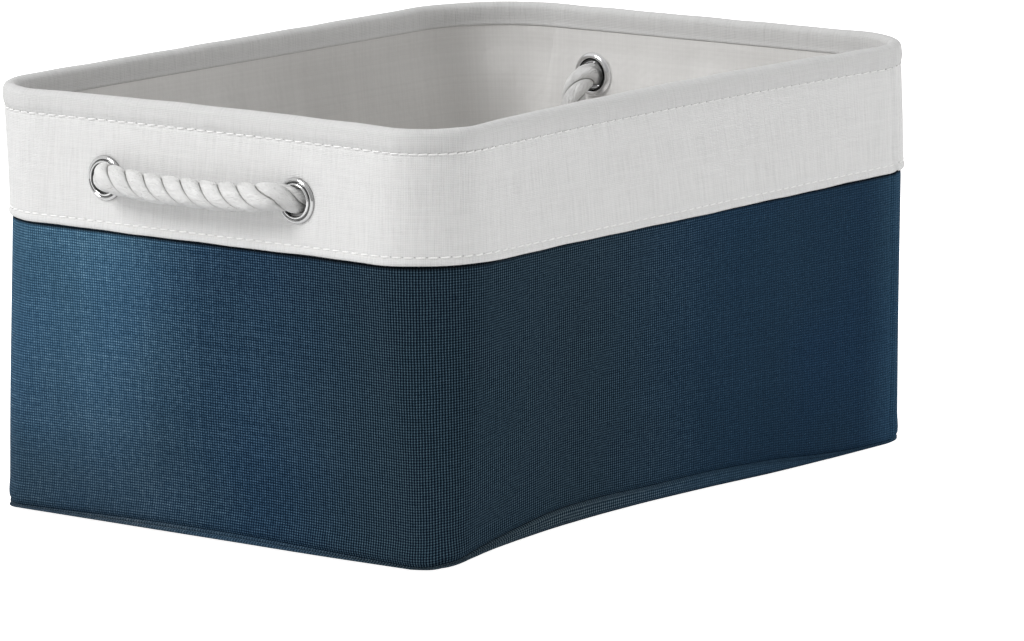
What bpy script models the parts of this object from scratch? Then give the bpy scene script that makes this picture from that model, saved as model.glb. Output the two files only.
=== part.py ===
"""Collapsible fabric storage bin: canvas-banded wrap wall on a wire rim, stiffened base and two rope handles.

Metres, +Z up. The origin is on the floor under the middle of the bin, +X runs along its length
and the handles are on the two short ends. Insets are measured inwards from the band's outer face.
"""

import math

import bmesh
import bpy
from mathutils import Matrix, Vector

# Overall size over the canvas band
LENGTH = 0.3988
WIDTH = 0.2997
HEIGHT = 0.2108

# Heights of the sewn lines
BAND_BOTTOM = 0.1454
BAND_OVERLAP = 0.0080
HEM_BOTTOM = 0.1990
LAYERS_TOP = 0.2030
SEAM_HEIGHT = 0.0035

# Plan shape. How far the sides lean in and each corner's radius, at the floor, at the band's lower
# edge and at the rim, and then how far the rim bows inwards at the middle of each side
TAPER = (0.0043, 0.0010, 0.0)
RADIUS_REAR_RIGHT = (0.030, 0.044, 0.058)
RADIUS_REAR_LEFT = (0.019, 0.041, 0.041)
RADIUS_FRONT_LEFT = (0.020, 0.041, 0.031)
RADIUS_FRONT_RIGHT = (0.034, 0.041, 0.046)
BOW_REAR = 0.0
BOW_LEFT = 0.005
BOW_FRONT = 0.009
BOW_RIGHT = 0.0
BOW_START = 0.140
BOW_POWER = 1.5
LEVELS = (0.036, 0.073, 0.109, BAND_BOTTOM, 0.160, 0.171, 0.182, 0.193)
CORNER_STEPS = 5
SIDE_STEPS = 6

# Layers of the wall, from outside to inside
GAP = 0.0003
BAND_THICK = 0.0009
WALL_THICK = 0.0009
INTERLINING_THICK = 0.0010
LINING_THICK = 0.0008
WALL_INSET = BAND_THICK + GAP
INTERLINING_INSET = WALL_INSET + WALL_THICK + GAP
LINING_INSET = INTERLINING_INSET + INTERLINING_THICK + GAP
LINING_FACE = LINING_INSET + LINING_THICK

# Rim
WIRE_RADIUS = 0.0015
WIRE_INSET = 0.00325
WIRE_HEIGHT = 0.2066
HEM_STRIP_INSET = 0.0056
SLEEVE_INNER_RADIUS = 0.0018
SLEEVE_OUTER_RADIUS = 0.00205
SLEEVE_LENGTH = 0.030

# Base
BASE_PANEL_THICK = 0.0010
BOARD_THICK = 0.0020
FLOOR_THICK = 0.0008

# Eyelets and ropes
EYELET_Y = 0.061
EYELET_Z = 0.171
RIGHT_SHIFT_Y = 0.0080
RIGHT_SHIFT_Z = 0.0037
EYELET_BORE_RADIUS = 0.0073
EYELET_WALL = 0.0006
EYELET_FLANGE_RADIUS = 0.01125
EYELET_FLANGE_RISE = 0.0016
EYELET_FLANGE_LIFT = 0.0006
EYELET_DEPTH = 0.0066
WASHER_THICK = 0.0014
WASHER_RADIUS = 0.0118
HOLE_RADIUS = 0.0083
ROPE_RADIUS = 0.0062
ROPE_BEND = 0.0085
ROPE_LEAD = 0.0015
GRIP_X = 0.2083
GRIP_SAG = 0.0015
GRIP_STEPS = 4
SWING_REACH = 0.0040
TAIL_BEND = 0.014
TAIL_START = EYELET_DEPTH + GAP + ROPE_LEAD
TAIL_DROP = 0.008
KNOT_RADIUS = 0.0130
KNOT_HEIGHT = 0.024
KNOT_END = 0.011
ROUND_STEPS = 24


def collection(name):
    """A new collection in the scene."""
    made = bpy.data.collections.new(name)
    bpy.context.scene.collection.children.link(made)
    return made


def material(name, colour, roughness, metallic=0.0):
    """A Principled material of one colour."""
    made = bpy.data.materials.new(name)
    made.use_nodes = True
    shader = made.node_tree.nodes["Principled BSDF"]
    shader.inputs["Base Color"].default_value = (*colour, 1.0)
    shader.inputs["Roughness"].default_value = roughness
    shader.inputs["Metallic"].default_value = metallic
    return made


def at_height(values, z):
    """A value given at the floor, the band's lower edge and the rim, read at height z."""
    floor, band, rim = values
    if z <= BAND_BOTTOM:
        return floor + (band - floor) * max(z, 0.0) / BAND_BOTTOM
    share = min((z - BAND_BOTTOM) / (HEIGHT - BAND_BOTTOM), 1.0)
    return band + (rim - band) * share


def bow_share(z):
    """How much of the rim's inward bow a side has at height z."""
    return max(0.0, (min(z, HEIGHT) - BOW_START) / (HEIGHT - BOW_START)) ** BOW_POWER


# Each corner with its direction, its radii, and the bow of the side that follows it anticlockwise
CORNERS = (
    (1, 1, RADIUS_REAR_RIGHT, BOW_REAR),
    (-1, 1, RADIUS_REAR_LEFT, BOW_LEFT),
    (-1, -1, RADIUS_FRONT_LEFT, BOW_FRONT),
    (1, -1, RADIUS_FRONT_RIGHT, BOW_RIGHT),
)


def arc_ends(corner, z, inset):
    """Centre and radius of a corner's arc at height z."""
    x_way, y_way, radii = corner[:3]
    full = at_height(radii, z)
    lean = at_height(TAPER, z)
    centre = Vector((x_way * (LENGTH / 2 - lean - full), y_way * (WIDTH / 2 - lean - full)))
    return centre, full - inset


def ring(z, inset):
    """Points round the bin at height z, anticlockwise from +X."""
    spots = []
    for i, corner in enumerate(CORNERS):
        bow = corner[3]
        centre, radius = arc_ends(corner, z, inset)
        for step in range(CORNER_STEPS + 1):
            angle = math.pi / 2 * (i + step / CORNER_STEPS)
            spots.append(centre + radius * Vector((math.cos(angle), math.sin(angle))))
        outward = Vector((math.cos(math.pi / 2 * (i + 1)), math.sin(math.pi / 2 * (i + 1))))
        start = spots[-1]
        next_centre, next_radius = arc_ends(CORNERS[(i + 1) % 4], z, inset)
        end = next_centre + next_radius * outward
        for step in range(1, SIDE_STEPS):
            share = step / SIDE_STEPS
            inward = bow * bow_share(z) * 4 * share * (1 - share)
            spots.append(start.lerp(end, share) - inward * outward)
    return [Vector((spot.x, spot.y, z)) for spot in spots]


def end_face(way, y, z):
    """X of the band's outer face on the short end on that side, -1 or +1."""
    index = 1 if way < 0 else 3
    first, second = arc_ends(CORNERS[index], z, 0.0), arc_ends(CORNERS[(index + 1) % 4], z, 0.0)
    share = (y - first[0].y) / (second[0].y - first[0].y)
    bow = CORNERS[index][3] * bow_share(z) * 4 * share * (1 - share)
    return way * (LENGTH / 2 - at_height(TAPER, z) - bow)


def add(name, data, paint, group):
    """A new object of that mesh or curve, in a collection and with its material."""
    made = bpy.data.objects.new(name, data)
    data.materials.append(paint)
    group.objects.link(made)
    return made


def loft(name, rings, paint, group, capped):
    """Skins rings of equal length. Capped ends make one solid sheet, else the last ring joins the first.
    Every quad is split along the same diagonal, so that layers side by side stay parallel."""
    mesh = bmesh.new()
    rows = [[mesh.verts.new(p) for p in points] for points in rings]
    pairs = list(zip(rows, rows[1:]))
    if capped:
        mesh.faces.new(rows[0])
        mesh.faces.new(rows[-1])
    else:
        pairs.append((rows[-1], rows[0]))
    for first, second in pairs:
        rises = first[0].co.z <= second[0].co.z
        for i in range(len(first)):
            j = (i + 1) % len(first)
            apex, foot = (second[j], first[i]) if rises else (second[i], first[j])
            mesh.faces.new((first[i], first[j], apex))
            mesh.faces.new((foot, second[j], second[i]))
    bmesh.ops.recalc_face_normals(mesh, faces=mesh.faces)
    data = bpy.data.meshes.new(name)
    mesh.to_mesh(data)
    mesh.free()
    made = add(name, data, paint, group)
    data.shade_smooth()
    data.set_sharp_from_angle(angle=math.radians(40))
    return made


def tube(name, points, radius, paint, group, sides=2):
    """A rope or wire along points, as a curve with filled ends."""
    data = bpy.data.curves.new(name, "CURVE")
    data.dimensions = "3D"
    data.bevel_depth = radius
    data.bevel_resolution = sides
    data.use_fill_caps = True
    spline = data.splines.new("POLY")
    spline.points.add(len(points) - 1)
    for point, spot in zip(spline.points, points):
        point.co = (*spot, 1.0)
    return add(name, data, paint, group)


def turned(name, profile, paint, group, place):
    """A profile of (radius, height) turned round its own Z, then set by the matrix place."""
    mesh = bmesh.new()
    spots = [mesh.verts.new((radius, 0.0, height)) for radius, height in profile]
    for first, second in zip(spots, spots[1:]):
        mesh.edges.new((first, second))
    if profile[0][0] > 0:
        mesh.edges.new((spots[-1], spots[0]))
    data = bpy.data.meshes.new(name)
    mesh.to_mesh(data)
    mesh.free()
    made = add(name, data, paint, group)
    screw = made.modifiers.new("turn", "SCREW")
    screw.steps = ROUND_STEPS
    screw.render_steps = ROUND_STEPS
    screw.use_merge_vertices = True
    screw.merge_threshold = 0.0000001
    screw.use_smooth_shade = True
    made.matrix_world = place
    return made


def cut(target, cutters):
    """Takes each cutter out of target."""
    for cutter in cutters:
        hole = target.modifiers.new(cutter.name, "BOOLEAN")
        hole.operation = "DIFFERENCE"
        hole.object = cutter


def sheet_hoop(name, low, high, inset, thick, paint, group):
    """A wrap-round sheet between two heights."""
    heights = [low] + [z for z in LEVELS if low < z < high] + [high]
    outer = [ring(z, inset) for z in heights]
    inner = [ring(z, inset + thick) for z in reversed(heights)]
    return loft(name, outer + inner, paint, group, capped=False)


def plate(name, low, thick, inset, paint, group):
    """A flat sheet over the whole base."""
    return loft(name, [ring(low, inset), ring(low + thick, inset)], paint, group, capped=True)


def base_panel(paint, group):
    """The base cloth: flat on the floor, its edge turned up to meet the wall's seam."""
    lip = SEAM_HEIGHT - GAP
    rings = [
        ring(0.0, WALL_INSET),
        ring(lip, WALL_INSET),
        ring(lip, WALL_INSET + WALL_THICK),
        ring(BASE_PANEL_THICK, WALL_INSET + WALL_THICK),
    ]
    return loft("base_panel", rings, paint, group, capped=True)


def upper_band(paint, group):
    """The canvas band: up the outside, over the wire and down the inside to the hem's stitching."""
    crown = HEIGHT - 0.0030
    middle = (HEM_STRIP_INSET + BAND_THICK) / 2
    outer, inner = [], []
    for z in [z for z in LEVELS if z >= BAND_BOTTOM] + [HEM_BOTTOM]:
        outer.append(ring(z, 0.0))
        inner.append(ring(z, BAND_THICK))
    steps = 6
    for step in range(steps + 1):
        angle = math.pi * step / steps
        rise = math.sin(angle)
        side = math.cos(angle)
        outer.append(ring(crown + 0.0030 * rise, middle * (1 - side)))
        inner.append(ring(crown + (0.0030 - BAND_THICK) * rise, middle - (middle - BAND_THICK) * side))
    outer.append(ring(HEM_BOTTOM, 2 * middle))
    inner.append(ring(HEM_BOTTOM, HEM_STRIP_INSET))
    return loft("upper_band", outer + inner[::-1], paint, group, capped=False)


def wire_points():
    """The rim wire's run, starting and ending in the sleeve at the middle of the rear side."""
    spots = ring(WIRE_HEIGHT, WIRE_INSET)
    middle = CORNER_STEPS + SIDE_STEPS // 2
    run = spots[middle:] + spots[: middle + 1]
    half_gap = Vector((GAP, 0.0, 0.0))
    run[0] = run[0] - half_gap
    run[-1] = run[-1] + half_gap
    return run


def wire_sleeve(paint, group):
    """The crimped tube that joins the wire's two ends."""
    half = SLEEVE_LENGTH / 2
    profile = (
        (SLEEVE_OUTER_RADIUS, half),
        (SLEEVE_OUTER_RADIUS, -half),
        (SLEEVE_INNER_RADIUS, -half),
        (SLEEVE_INNER_RADIUS, half),
    )
    middle = wire_points()[0]
    place = Matrix.Translation((middle.x, middle.y, middle.z)) @ Matrix.Rotation(math.pi / 2, 4, "Y")
    return turned("wire_sleeve", profile, paint, group, place)


def facing(way, spot):
    """A frame at spot whose Z points out of that end of the bin."""
    return Matrix.Translation(spot) @ Matrix.Rotation(way * math.pi / 2, 4, "Y")


def eyelet(name, way, spot, paint, group):
    """An eyelet: a rounded flange outside and a barrel through the wall."""
    low = EYELET_FLANGE_LIFT
    high = low + EYELET_FLANGE_RISE
    barrel = EYELET_BORE_RADIUS + EYELET_WALL
    profile = (
        (EYELET_BORE_RADIUS, high - 0.0008),
        (EYELET_BORE_RADIUS + 0.0008, high),
        (EYELET_FLANGE_RADIUS - 0.0014, high),
        (EYELET_FLANGE_RADIUS - 0.0002, high - 0.0008),
        (EYELET_FLANGE_RADIUS, low),
        (barrel, low),
        (barrel, -EYELET_DEPTH),
        (EYELET_BORE_RADIUS, -EYELET_DEPTH),
    )
    return turned(name, profile, paint, group, facing(way, spot))


def washer(name, way, spot, paint, group):
    """The ring that the barrel is set against inside the bin."""
    high = -EYELET_DEPTH + WASHER_THICK
    inner = EYELET_BORE_RADIUS + EYELET_WALL + GAP
    profile = (
        (inner, high),
        (WASHER_RADIUS, high),
        (WASHER_RADIUS - 0.0004, high - 0.0009),
        (WASHER_RADIUS - 0.0014, -EYELET_DEPTH),
        (inner, -EYELET_DEPTH),
    )
    return turned(name, profile, paint, group, facing(way, spot))


def hole_cutter(name, way, spot, paint, group):
    """A cutter for an eyelet's hole."""
    reach = 0.02
    profile = ((0.0, reach), (HOLE_RADIUS, reach), (HOLE_RADIUS, -reach), (0.0, -reach))
    made = turned(name, profile, paint, group, facing(way, spot))
    made.hide_render = True
    made.display_type = "WIRE"
    return made


def knot(name, spot, paint, group):
    """A stopper knot below spot, with the rope's short end under it."""
    profile = [(0.0, 0.0), (0.45 * KNOT_RADIUS, 0.0)]
    steps = 6
    for step in range(1, steps):
        angle = math.pi * (0.15 + 0.7 * step / steps)
        profile.append((KNOT_RADIUS * math.sin(angle), KNOT_HEIGHT / 2 * (math.cos(angle) - 1)))
    end = -KNOT_HEIGHT - KNOT_END
    profile += [(ROPE_RADIUS, -KNOT_HEIGHT), (ROPE_RADIUS, end), (0.0, end)]
    return turned(name, profile, paint, group, Matrix.Translation(spot))


def handle_middle(way):
    """The place between a handle's two eyelets: the right handle is set further back and higher."""
    return (RIGHT_SHIFT_Y, EYELET_Z + RIGHT_SHIFT_Z) if way > 0 else (0.0, EYELET_Z)


def eyelet_spot(way, side_way):
    """The middle of an eyelet on the band's outer face, taken level with the rear eyelet's."""
    middle_y, z = handle_middle(way)
    return Vector((end_face(way, middle_y + EYELET_Y, z), middle_y + side_way * EYELET_Y, z))


def bend_spot(angle, radius):
    """A spot round the bend of a grip, and the rope's direction there; the angle runs from the eyelet's axis."""
    x = GRIP_X - ROPE_BEND + radius * math.sin(angle)
    y = EYELET_Y - ROPE_BEND + radius * math.cos(angle)
    return Vector((x, y)), Vector((math.cos(angle), -math.sin(angle)))


def swing_angle(face):
    """How far round its bend the rope has come where the grip swings."""
    return math.asin((abs(face) + SWING_REACH - (GRIP_X - ROPE_BEND)) / ROPE_BEND)


def grip_points(face, way):
    """The rope outside the wall: along the wall with a slight sag, its ends bending in towards the eyelets."""
    middle_y, middle_z = handle_middle(way)
    first = swing_angle(face)
    turn = (math.pi / 2 - first) / GRIP_STEPS
    half = [bend_spot(first, ROPE_BEND)[0]]
    for step in range(GRIP_STEPS):
        half.append(bend_spot(first + turn * (step + 0.5), ROPE_BEND / math.cos(turn / 2))[0])
    bend_y = EYELET_Y - ROPE_BEND
    half += [Vector((GRIP_X, bend_y * share)) for share in (0.66, 0.33)]
    run = half + [Vector((GRIP_X, 0.0))] + [Vector((x, -y)) for x, y in reversed(half)]
    sagged = []
    for x, y in run:
        drop = GRIP_SAG * (1 - min(abs(y) / bend_y, 1.0) ** 2)
        sagged.append(Vector((way * x, middle_y + y, middle_z - drop)))
    return sagged


def leg_points(face, way, side_way):
    """The rope in an eyelet, out to where the grip swings."""
    angle = swing_angle(face)
    end, direction = bend_spot(angle, ROPE_BEND)
    end -= direction * GAP
    corner_x = GRIP_X - ROPE_BEND + ROPE_BEND * math.tan(angle / 2)
    middle_y, middle_z = handle_middle(way)
    run = ((abs(face) - EYELET_DEPTH, EYELET_Y), (corner_x, EYELET_Y), end)
    return [Vector((way * x, middle_y + side_way * y, middle_z)) for x, y in run]


def tail_points(face, way, y, z_start):
    """The rope inside the wall: it bends down out of the eyelet and hangs to its knot."""
    start = face - way * TAIL_START
    spots = [(start + way * ROPE_LEAD, y, z_start)]
    steps = 5
    for step in range(steps + 1):
        angle = math.pi / 2 * step / steps
        spots.append((start - way * TAIL_BEND * math.sin(angle), y, z_start - TAIL_BEND * (1 - math.cos(angle))))
    x, y, z = spots[-1]
    spots.append((x, y, z - TAIL_DROP + GAP))
    return [Vector(spot) for spot in spots]


def pivot(name, spot, group):
    """An empty on a joint's axis."""
    made = bpy.data.objects.new(name, None)
    made.location = spot
    made.empty_display_size = 0.01
    group.objects.link(made)
    return made


def hang(parent, *children):
    """Parents each child where it stands."""
    bpy.context.view_layer.update()
    for child in children:
        world = child.matrix_world.copy()
        child.parent = parent
        child.matrix_parent_inverse = parent.matrix_world.inverted()
        child.matrix_world = world


def handle(side, way, paints, group, rim):
    """One rope handle, in three parts that move on each other: the ends in the eyelets, the grip and the knots."""
    middle_y, middle_z = handle_middle(way)
    face = eyelet_spot(way, 1).x
    axis_x = face + way * SWING_REACH
    knot_axis_x = face - way * (TAIL_START + math.pi / 4 * TAIL_BEND)
    knot_axis_z = middle_z - TAIL_BEND * (1 - math.pi / 4)
    pull = pivot(f"{side}_pull_axis", (axis_x, middle_y, middle_z), group)
    swing = pivot(f"{side}_swing_axis", (axis_x, middle_y, middle_z), group)
    turn = pivot(f"{side}_knot_axis", (knot_axis_x, middle_y, knot_axis_z), group)
    hang(rim, pull)
    hang(pull, swing, turn)
    rope = paints["rope"]
    hang(swing, tube(f"rope_{side}_grip", grip_points(face, way), ROPE_RADIUS, rope, group))
    for row, side_way in (("front", -1), ("rear", 1)):
        spot = eyelet_spot(way, side_way)
        leg = leg_points(face, way, side_way)
        hang(pull, tube(f"rope_{side}_leg_{row}", leg, ROPE_RADIUS, rope, group))
        tail = tail_points(face, way, spot.y, spot.z)
        hang(turn, tube(f"rope_{side}_tail_{row}", tail, ROPE_RADIUS, rope, group))
        hang(turn, knot(f"knot_{side}_{row}", tail[-1] - Vector((0.0, 0.0, GAP)), rope, group))
        metal = paints["chrome"]
        hang(rim, eyelet(f"eyelet_{side}_{row}", way, spot, metal, group))
        hang(rim, washer(f"washer_{side}_{row}", way, spot, metal, group))


def clear_scene():
    """Removes whatever the scene holds."""
    for found in list(bpy.data.objects):
        bpy.data.objects.remove(found)


def main():
    """Builds the bin."""
    clear_scene()
    group = collection("fabric_storage_bin")
    helpers = collection("cutters")
    paints = {
        "navy": material("navy_linen", (0.035, 0.078, 0.122), 0.85),
        "canvas": material("white_canvas", (0.78, 0.77, 0.75), 0.85),
        "lining": material("white_lining", (0.74, 0.73, 0.71), 0.75),
        "interlining": material("felt_interlining", (0.55, 0.55, 0.53), 0.95),
        "board": material("greyboard", (0.42, 0.38, 0.33), 0.9),
        "steel": material("steel_wire", (0.55, 0.55, 0.56), 0.35, 1.0),
        "chrome": material("chrome", (0.78, 0.78, 0.80), 0.12, 1.0),
        "rope": material("cotton_rope", (0.82, 0.80, 0.76), 0.9),
    }
    rim = pivot("rim_axis", (0.0, 0.0, BAND_BOTTOM), group)

    base_panel(paints["navy"], group)
    board_low = BASE_PANEL_THICK + GAP
    board_inset = WALL_INSET + WALL_THICK + INTERLINING_THICK + 2 * GAP
    plate("base_board", board_low, BOARD_THICK, board_inset, paints["board"], group)
    floor_low = board_low + BOARD_THICK + GAP
    plate("lining_floor", floor_low, FLOOR_THICK, LINING_FACE + GAP, paints["lining"], group)
    wall_top = BAND_BOTTOM + BAND_OVERLAP
    sheet_hoop("outer_wall", SEAM_HEIGHT, wall_top, WALL_INSET, WALL_THICK, paints["navy"], group)
    interlining = sheet_hoop(
        "wall_interlining", floor_low, LAYERS_TOP, INTERLINING_INSET, INTERLINING_THICK, paints["interlining"], group
    )
    lining = sheet_hoop(
        "lining_wall", floor_low, LAYERS_TOP, LINING_INSET, LINING_THICK, paints["lining"], group
    )
    band = upper_band(paints["canvas"], group)
    wire = tube("rim_wire", wire_points(), WIRE_RADIUS, paints["steel"], group)
    hang(rim, band, wire, wire_sleeve(paints["steel"], group))

    cutters = []
    for side, way in (("left", -1), ("right", 1)):
        handle(side, way, paints, group, rim)
        for row, side_way in (("front", -1), ("rear", 1)):
            spot = eyelet_spot(way, side_way)
            cutters.append(hole_cutter(f"hole_{side}_{row}", way, spot, paints["steel"], helpers))
    for target in (band, interlining, lining):
        cut(target, cutters)


main()
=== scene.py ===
import math

import bmesh
import bpy
import numpy as np
from mathutils import Matrix, Vector


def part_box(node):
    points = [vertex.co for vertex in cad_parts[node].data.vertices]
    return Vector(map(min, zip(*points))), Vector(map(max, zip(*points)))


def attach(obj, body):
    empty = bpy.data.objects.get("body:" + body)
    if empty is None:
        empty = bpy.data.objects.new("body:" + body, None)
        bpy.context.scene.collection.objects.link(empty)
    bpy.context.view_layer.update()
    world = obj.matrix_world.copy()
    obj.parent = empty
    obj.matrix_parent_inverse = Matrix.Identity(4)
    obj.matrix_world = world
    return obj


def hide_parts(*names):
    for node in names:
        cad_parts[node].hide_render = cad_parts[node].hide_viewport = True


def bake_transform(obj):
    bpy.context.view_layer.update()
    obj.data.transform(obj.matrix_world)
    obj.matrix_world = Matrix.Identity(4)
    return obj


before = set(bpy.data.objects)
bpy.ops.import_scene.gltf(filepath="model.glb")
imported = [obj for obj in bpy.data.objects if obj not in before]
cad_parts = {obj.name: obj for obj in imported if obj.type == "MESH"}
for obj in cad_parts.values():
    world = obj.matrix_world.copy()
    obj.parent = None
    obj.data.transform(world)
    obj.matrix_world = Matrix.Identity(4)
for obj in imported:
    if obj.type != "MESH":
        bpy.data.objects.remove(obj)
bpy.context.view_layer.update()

# ---------------------------------------------------------------- measures
BAND_LOW, BAND_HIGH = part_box("upper_band")
LENGTH = 0.3988
WIDTH = 0.2997
HEIGHT = BAND_HIGH.z
BAND_BOTTOM = BAND_LOW.z
WALL_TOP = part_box("outer_wall")[1].z
LAYERS_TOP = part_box("lining_wall")[1].z
HEM_BOTTOM = 0.199

# the lean, and each corner: its way in X and Y, its radii, and how far the rim bows in on the side after it.
# Lean and radii are those at the floor, at the band's lower edge and at the rim
TAPER = (0.0043, 0.0010, 0.0)
CORNERS = (
    (1, 1, (0.030, 0.044, 0.058), 0.0),
    (-1, 1, (0.019, 0.041, 0.041), 0.005),
    (-1, -1, (0.020, 0.041, 0.031), 0.009),
    (1, -1, (0.034, 0.041, 0.046), 0.0),
)
BOW_START = 0.140
BOW_POWER = 1.5

# where each layer lies, inwards from the band's outer face
BAND_THICK = 0.0009
WALL_INSET = 0.0012
WALL_THICK = 0.0009
FELT_INSET = 0.0024
FELT_THICK = 0.0010
LINING_INSET = 0.0037
LINING_THICK = 0.0008
HEM_FACE = 0.0064
WIRE_INSET = 0.00325

# columns of the cloth meshes: steps in each corner and on the long and short sides, closer at the raised seam
CORNER_STEPS = 22
LONG_STEPS = 76
SHORT_STEPS = 56
SEAM_STEP = 6.0 + 0.15
SEAM_ZONE = 0.13
SEAM_COLUMNS = 28
NEAR_STEP = 4.5
WALL_ROWS = 62

# ropes and eyelets
EYELET_REACH = 0.061
EYELET_DEPTH = 0.0066
EYELET_BORE = 0.0073
HOLE_RADIUS = 0.0083
ROPE_RADIUS = 0.0062
GRIP_RADIUS = 0.0069
GRIP_SAG = 0.0006
GRIP_RISE = 0.0030
TAIL_START = 0.0084
TAIL_BEND = 0.014
TAIL_DROP = 0.008
KNOT_HEIGHT = 0.024
KNOT_END = 0.011
WRAP_RADIUS = 0.0047
WRAP_START = 0.0030
WRAP_REACH = 0.0130 - WRAP_RADIUS
WRAP_TURNS = 2.3
ROPE_LAY = 0.036
ROPE_PHASE = 0.35

STITCH_PITCH = 0.0060
THREAD_RADIUS = 0.00043

TURN = 2 * math.pi
ROOT = "base"
SIDES = {"left": -1, "right": 1}
ROWS = {"front": -1, "rear": 1}
EYELET_LIP = 0.0022


def unit(value):
    """A value cut off at 0 and at 1."""
    return np.clip(value, 0.0, 1.0)


def handle_place(side):
    """A handle's place: the band's outer face there, and the middle between its eyelets."""
    low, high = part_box(f"eyelet_{side}_front")
    face = low.x + EYELET_LIP if side == "left" else high.x - EYELET_LIP
    return Vector((face, (low.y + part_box(f"eyelet_{side}_rear")[1].y) / 2, (low.z + high.z) / 2))


HANDLES = {side: handle_place(side) for side in SIDES}


def eyelet_spot(side, row):
    """The middle of an eyelet on the band's outer face."""
    return HANDLES[side] + Vector((0.0, ROWS[row] * EYELET_REACH, 0.0))


# where round the bin, in metres, the cloth's painted light at the rear of its left end, its crisper and
# smoother parts begin and end, and the painted highlight at its right end
PAINTED_LIGHT_LEFT = ((0.300, 0.420), (0.570, 0.475))
# how fast the painted light on the left end grows towards the top
PAINTED_LIGHT_RISE = 12.5
CRISP = ((0.560, 0.680), (0.930, 0.780))
SMOOTH = ((0.800, 0.960), (1.200, 1.080))
PAINTED_LIGHT_RIGHT = ((1.02, 1.06), (1.25, 1.12))
# the heights between which the navy cloth darkens: a painted shadow up to the band's edge, and painted shade
# down round the base's edge
BAND_SHADOW = (BAND_BOTTOM - 0.0022, BAND_BOTTOM - 0.0009)
UNDERSIDE_SHADE = (-0.0115, -0.0150)
# the height at which the canvas changes to the slightly darker hem: painted shade on the rolled hem over the
# wire
HEM_SHADE = (0.1992, 0.2004)

FLOOR_HEIGHT = -0.0012

# ---------------------------------------------------------------- camera
CAMERA_TARGET = Vector((0.0, 0.0, 0.105))
CAMERA_AZIMUTH = math.radians(-50.54)
CAMERA_ELEVATION = math.radians(9.75)
CAMERA_ROLL = math.radians(-0.78)
CAMERA_DISTANCE = 3.324
CAMERA_LENS = 232.2
CAMERA_SHIFT = (0.0470, -0.0518)


def linked(name, data):
    """A new object in the scene."""
    made = bpy.data.objects.new(name, data)
    bpy.context.scene.collection.objects.link(made)
    return made


def aim(made, way, roll=0.0):
    """Turns a camera or light to look that way."""
    made.rotation_mode = "QUATERNION"
    made.rotation_quaternion = way.to_track_quat("-Z", "Y") @ Matrix.Rotation(roll, 4, "Z").to_quaternion()


def make_camera():
    """The camera at the bin's near left corner, a little above its rim."""
    data = bpy.data.cameras.new("camera")
    data.lens = CAMERA_LENS
    data.sensor_width = 36.0
    data.shift_x, data.shift_y = CAMERA_SHIFT
    data.clip_end = 20.0
    made = linked("camera", data)
    flat = math.cos(CAMERA_ELEVATION)
    x, y = math.sin(CAMERA_AZIMUTH) * flat, -math.cos(CAMERA_AZIMUTH) * flat
    back = Vector((x, y, math.sin(CAMERA_ELEVATION)))
    made.location = CAMERA_TARGET + back * CAMERA_DISTANCE
    aim(made, -back, CAMERA_ROLL)
    bpy.context.scene.camera = made


# the light: how bright the surroundings are, the way in which they are darker, and two soft lamps
WORLD_BRIGHT = 0.74
WORLD_DARK = 0.36
DARK_WAY = (-0.70, -0.70, 0.05)
DARK_START = 0.10
DARK_END = 0.95
LAMP_TARGET = Vector((0, 0, 0.1))
KEY_PLACE = (-2.1, 0.75, 2.1)
KEY_POWER = 45.0
FILL_PLACE = (0.9, -1.9, 0.2)
FILL_POWER = 9.0
FLOOR_GLOW = 0.97

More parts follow.
